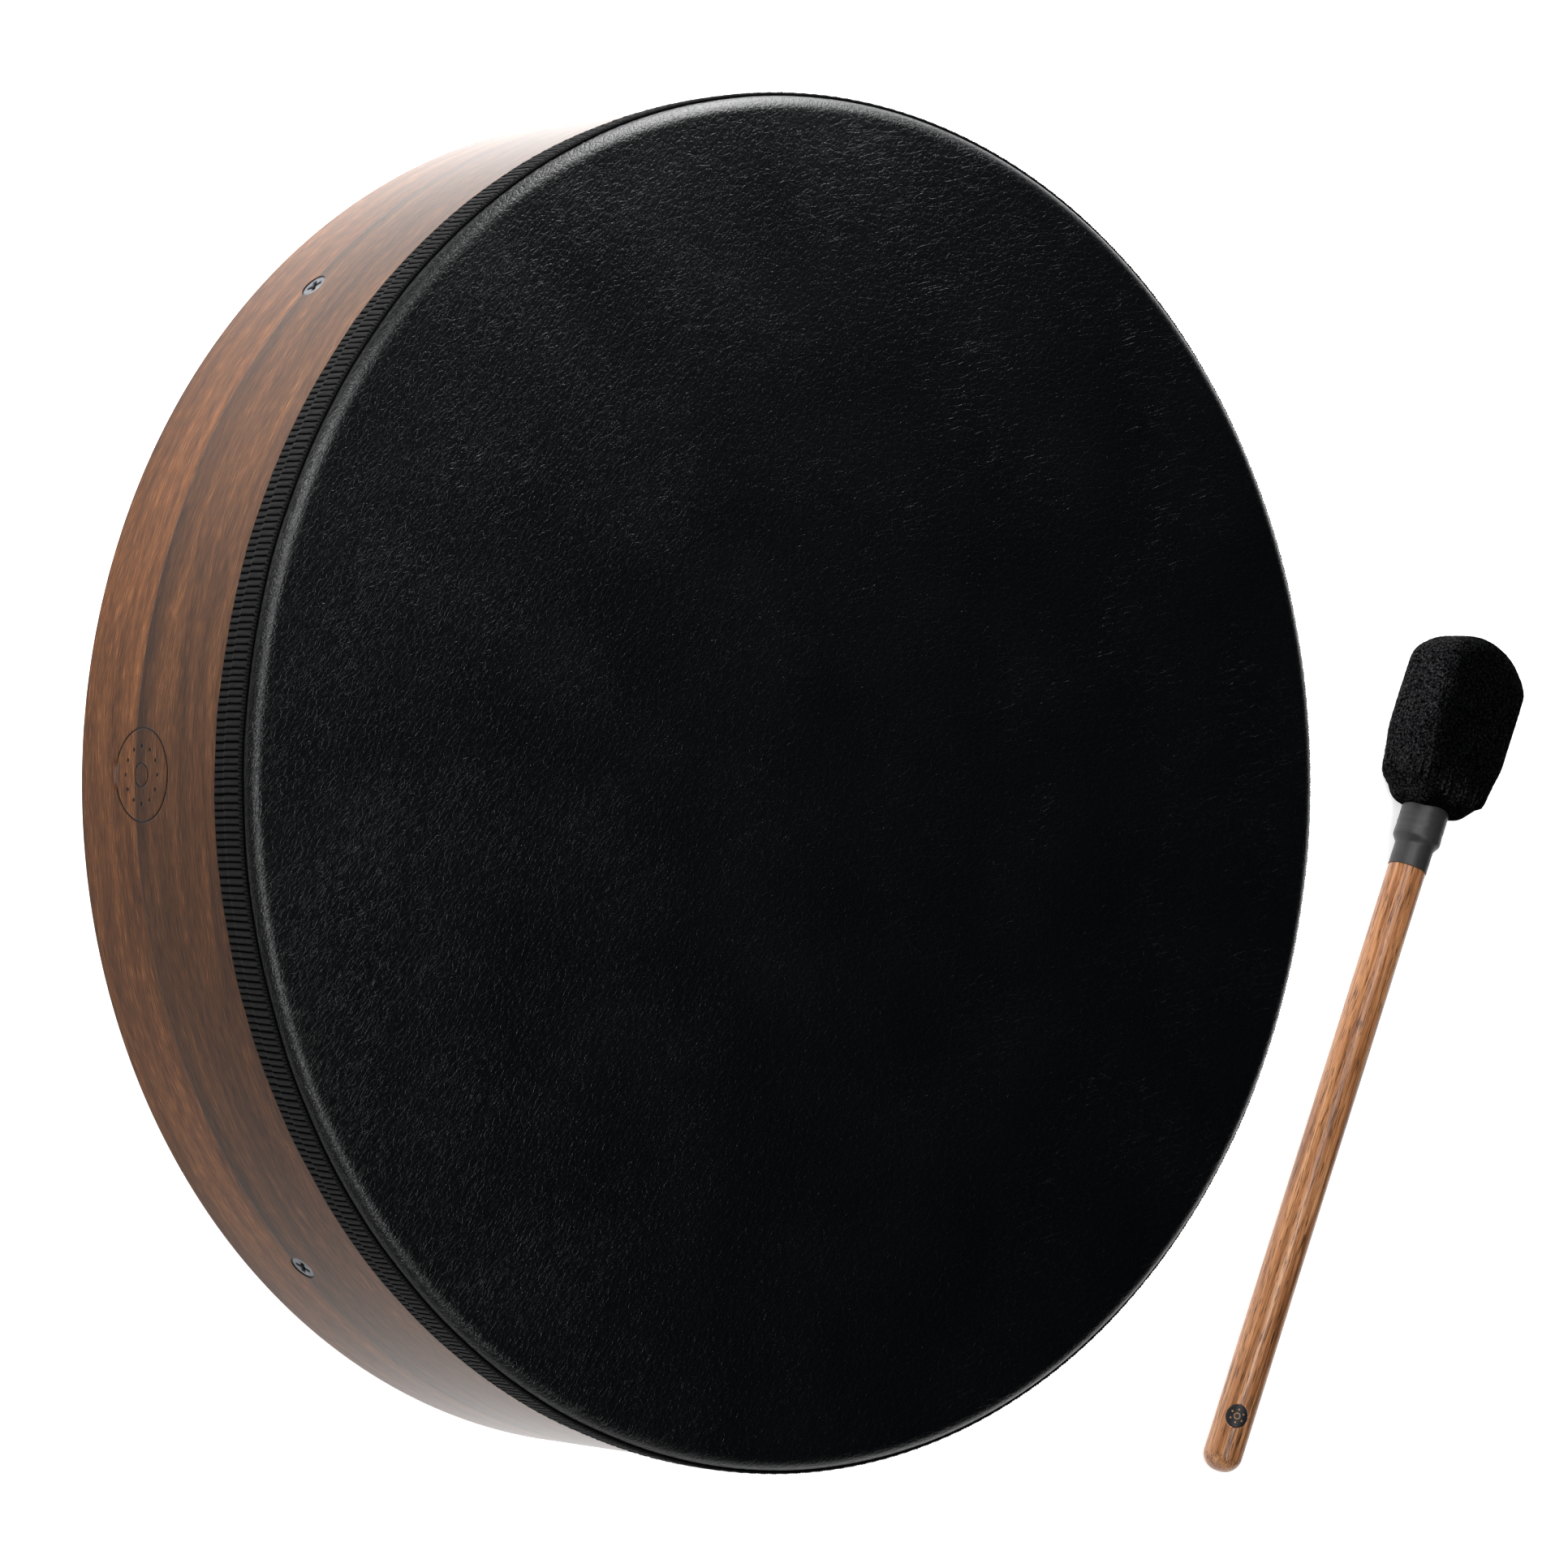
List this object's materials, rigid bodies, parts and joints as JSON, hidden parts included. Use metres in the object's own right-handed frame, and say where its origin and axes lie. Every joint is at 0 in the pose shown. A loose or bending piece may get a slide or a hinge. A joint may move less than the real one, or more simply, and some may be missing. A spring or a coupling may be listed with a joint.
{
  "type": "frame drum with mallet",
  "caption": "Hand-held frame drum with a dark stained wooden hoop, a black synthetic head edged with ribbon, crossed grip bars behind, and a padded plush mallet.",
  "frame": {"origin": "the drum's axis in the plane of its rear rim, which the drum lies on", "axes": "+Z from the rear rim to the playing head; +X from the drum's axis towards the side where the mallet lies; +Y runs with the mallet from its butt to its head"},
  "size_m": [0.6444, 0.4892, 0.097],
  "materials": {
    "walnut_face": "satin walnut stain on fine straight-grained ply",
    "ply_core": "stained plywood, satin",
    "bar_wood": "satin walnut stain, rounded bars",
    "head_leather": "black synthetic leather, fine pebbled grain",
    "ribbon_black": "black ribbed grosgrain ribbon",
    "staple_steel": "zinc-coated flat wire",
    "screw_black": "black oxide",
    "handle_wood": "oiled hardwood with open dark pores",
    "core_wood": "plain sawn block",
    "felt_fill": "wool felt padding",
    "plush_black": "short black plush",
    "binding_thread": "waxed thread",
    "sleeve_rubber": "matte dark grey shrink sleeve",
    "badge_black": "flush black disc"
  },
  "bodies": {
    "drum": {"shell_core": "ply_core", "face_ply_rear": "walnut_face", "face_ply_front": "walnut_face", "drum_head": "head_leather", "rim_ribbon": "ribbon_black", "head_staples": "staple_steel", "crossbar_lower": "bar_wood", "crossbar_upper": "bar_wood", "bar_screw_upper_left": "screw_black", "bar_screw_lower_left": "screw_black", "bar_screw_upper_right": "screw_black", "bar_screw_lower_right": "screw_black", "lap_screw": "screw_black"},
    "mallet": {"mallet_handle": "handle_wood", "mallet_core": "core_wood", "mallet_padding": "felt_fill", "mallet_cover": "plush_black", "neck_binding": "binding_thread", "mallet_sleeve": "sleeve_rubber", "handle_badge": "badge_black"}
  },
  "joints": [
    {"name": "mallet_lift", "type": "slide", "parent": "drum", "child": "mallet", "axis": [0, 0, 1], "range_m": [0, 0.15]}
  ]
}
